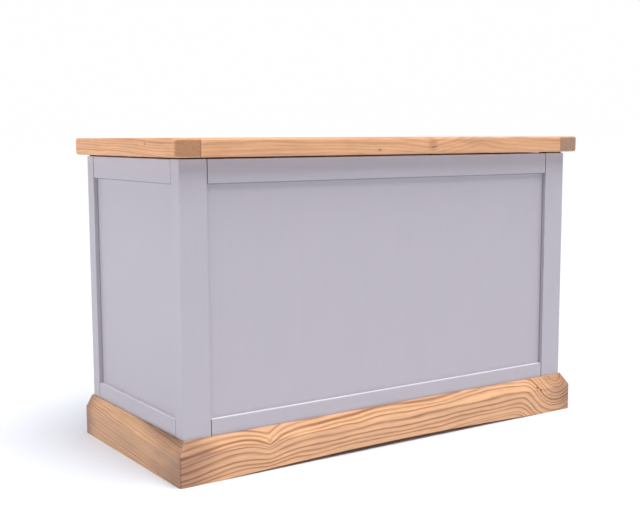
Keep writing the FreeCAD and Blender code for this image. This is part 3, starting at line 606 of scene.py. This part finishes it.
class TOYBOX_OT_lid(bpy.types.Operator):
    """Gives the lid's boards and end cleats their waxed pine"""
    bl_idname = "toybox.lid"
    bl_label = "Lid"

    def execute(self, context):
        wood = context.scene.toy_box.wood
        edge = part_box("lid_cleat_left")[1][0]
        ends = [((1, 0, 0), -abs(edge)), ((1, 0, 0), abs(edge))]
        seams = [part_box(name)[1][1] for name in LID_BOARDS[:-1]]
        lid = (0.97, 0.92, 0.87)
        boards = (
            Board("X", (30, -150), 6.0, dips=(
                ((60, -46, 0), (50, 60, 40), 14, True),
                ((170, -46, 0), (60, 60, 40), -12, True),
            ), knots=(
                ((-44, -46, -7), 1.6, 2, 0.6), ((64, -46, 0), 9, 0.9, 0.3), ((66, -46, -5), 1.2, 4, 0.6),
                ((150, -46, 4), 5, 5, 0.16),
            ), contrast=0.34, tone=0.93, wash=lid),
            Board("X", (-15, -32), 5.0, (0.01, 0.01), contrast=0.8, wash=lid),
            Board("X", (20, 45), 5.5, (-0.02, 0.0), contrast=0.8, tone=0.97, wash=lid),
            Board("X", (-35, -30), 4.5, (0.0, 0.02), contrast=0.8, wash=lid),
        )
        for name, board in zip(LID_BOARDS, boards):
            joints = ends + [((0, 1, 0), seam) for seam in seams]
            dress([name], waxed_pine(f"waxed_pine_{name}", wood, board, name, joints))
        piths, washes = ((-40, -110), (30, 90)), ((0.92, 0.81, 0.72), (0.70, 0.86, 1.20))
        for side, pith, end_wash in zip(SIDES, piths, washes):
            name = f"lid_cleat_{side}"
            joint = [((1, 0, 0), abs(edge) * (1 if side == "right" else -1))]
            board = Board("Y", pith, 4.2, (0, 0.02), contrast=0.6, knots=(((-90, 0, 6), 1.2, 1.7, 0.8),),
                          wash=(0.94, 0.86, 0.74), end_wash=end_wash)
            dress([name], waxed_pine(f"waxed_pine_{name}", wood, board, name, joint))
        return {"FINISHED"}


class TOYBOX_OT_floor(bpy.types.Operator):
    """Gives the floor panel and its bearers their bare wood"""
    bl_idname = "toybox.floor"
    bl_label = "Floor"

    def execute(self, context):
        wood = context.scene.toy_box.wood
        board = Board("X", (0, -900), 30.0, contrast=0.35, tone=1.05, wash=BARE)
        dress(["floor_panel"], waxed_pine("sanded_birch_plywood", wood, board, "floor_panel"))
        for wall in WALLS:
            grain = "X" if wall in ("front", "back") else "Y"
            name = f"floor_bearer_{wall}"
            board = Board(grain, (15, -30), 4.0, contrast=0.6, tone=1.05, wash=BARE)
            dress([name], waxed_pine(f"planed_pine_{name}", wood, board, name))
        return {"FINISHED"}


class TOYBOX_OT_blocks(bpy.types.Operator):
    """Gives the blocks behind the plinth and the frame's dowels their bare wood"""
    bl_idname = "toybox.blocks"
    bl_label = "Blocks and dowels"

    def execute(self, context):
        wood = context.scene.toy_box.wood
        board = Board("X", (15, -30), 4.0, contrast=0.6, tone=1.05, wash=BARE)
        dress(["plinth_blocks"], waxed_pine("planed_pine_blocks", wood, board, "plinth_blocks"))
        board = Board("Y", (15, -30), 4.0, contrast=0.3, tone=1.05, wash=BARE)
        dress(["frame_dowels"], waxed_pine("turned_beech_dowels", wood, board, "frame_dowels"))
        return {"FINISHED"}


class TOYBOX_OT_hinges(bpy.types.Operator):
    """Gives the hinge leaves, pins and their screws a brass plate"""
    bl_idname = "toybox.hinges"
    bl_label = "Hinges"

    def execute(self, context):
        colour = context.scene.toy_box.hardware.brass
        brass = plated_steel("brass_plated_steel", colour, 0.32, "X")
        for side in SIDES:
            dress([f"hinge_{part}_{side}" for part in ("carcass_leaf", "lid_leaf", "pin")], brass)
        dress(["hinge_screws_carcass", "hinge_screws_lid"], brass)
        return {"FINISHED"}


class TOYBOX_OT_stays(bpy.types.Operator):
    """Gives the stays' plates, brackets and arms a zinc plate"""
    bl_idname = "toybox.stays"
    bl_label = "Lid stays"

    def execute(self, context):
        colour = context.scene.toy_box.hardware.zinc
        strip = plated_steel("zinc_plated_strip", colour, 0.38, "Y")
        for side in SIDES:
            dress([f"stay_{part}_{side}" for part in ("side_plate", "lid_bracket", "lower_arm", "upper_arm")],
                  strip)
        return {"FINISHED"}


class TOYBOX_OT_fasteners(bpy.types.Operator):
    """Gives the screws and the stays' rivets a brighter zinc plate"""
    bl_idname = "toybox.fasteners"
    bl_label = "Screws and rivets"

    def execute(self, context):
        colour = context.scene.toy_box.hardware.zinc
        turned = plated_steel("zinc_plated_screws", colour, 0.30, "Z")
        dress(["stay_screws_side", "stay_screws_lid", "stay_root_rivets", "stay_lid_rivets",
               "bearer_screws", "plinth_screws"], turned)
        dress([f"stay_elbow_rivet_{side}" for side in SIDES], turned)
        return {"FINISHED"}


class TOYBOX_OT_pads(bpy.types.Operator):
    """Gives the pads on the posts their dark rubber"""
    bl_idname = "toybox.pads"
    bl_label = "Lid pads"

    def execute(self, context):
        dress(["lid_bumpers"], moulded_rubber("moulded_rubber", context.scene.toy_box.hardware.rubber))
        return {"FINISHED"}


OPERATORS = (
    TOYBOX_OT_stage, TOYBOX_OT_paintwork, TOYBOX_OT_plinth, TOYBOX_OT_lid, TOYBOX_OT_floor,
    TOYBOX_OT_blocks, TOYBOX_OT_hinges, TOYBOX_OT_stays, TOYBOX_OT_fasteners, TOYBOX_OT_pads,
)


class TOYBOX_PT_panel(bpy.types.Panel):
    """Lists the toy box's settings and operators"""
    bl_label = "Toy Box"
    bl_idname = "TOYBOX_PT_panel"
    bl_space_type = "VIEW_3D"
    bl_region_type = "UI"
    bl_category = "Toy Box"

    def draw(self, context):
        settings = context.scene.toy_box
        for group in (settings.wood, settings.paint, settings.hardware, settings.stage):
            column = self.layout.column()
            for key in group.bl_rna.properties.keys():
                if key not in ("rna_type", "name"):
                    column.prop(group, key)
        for operator in OPERATORS:
            self.layout.operator(operator.bl_idname)


CLASSES = (ToyBoxWood, ToyBoxPaint, ToyBoxHardware, ToyBoxStage, ToyBoxSettings, *OPERATORS, TOYBOX_PT_panel)


def register():
    for cls in CLASSES:
        bpy.utils.register_class(cls)
    bpy.types.Scene.toy_box = PointerProperty(type=ToyBoxSettings)


def unregister():
    del bpy.types.Scene.toy_box
    for cls in reversed(CLASSES):
        bpy.utils.unregister_class(cls)


def main():
    register()
    for operator in OPERATORS:
        group, action = operator.bl_idname.split(".")
        getattr(getattr(bpy.ops, group), action)()


if __name__ == "__main__":
    main()
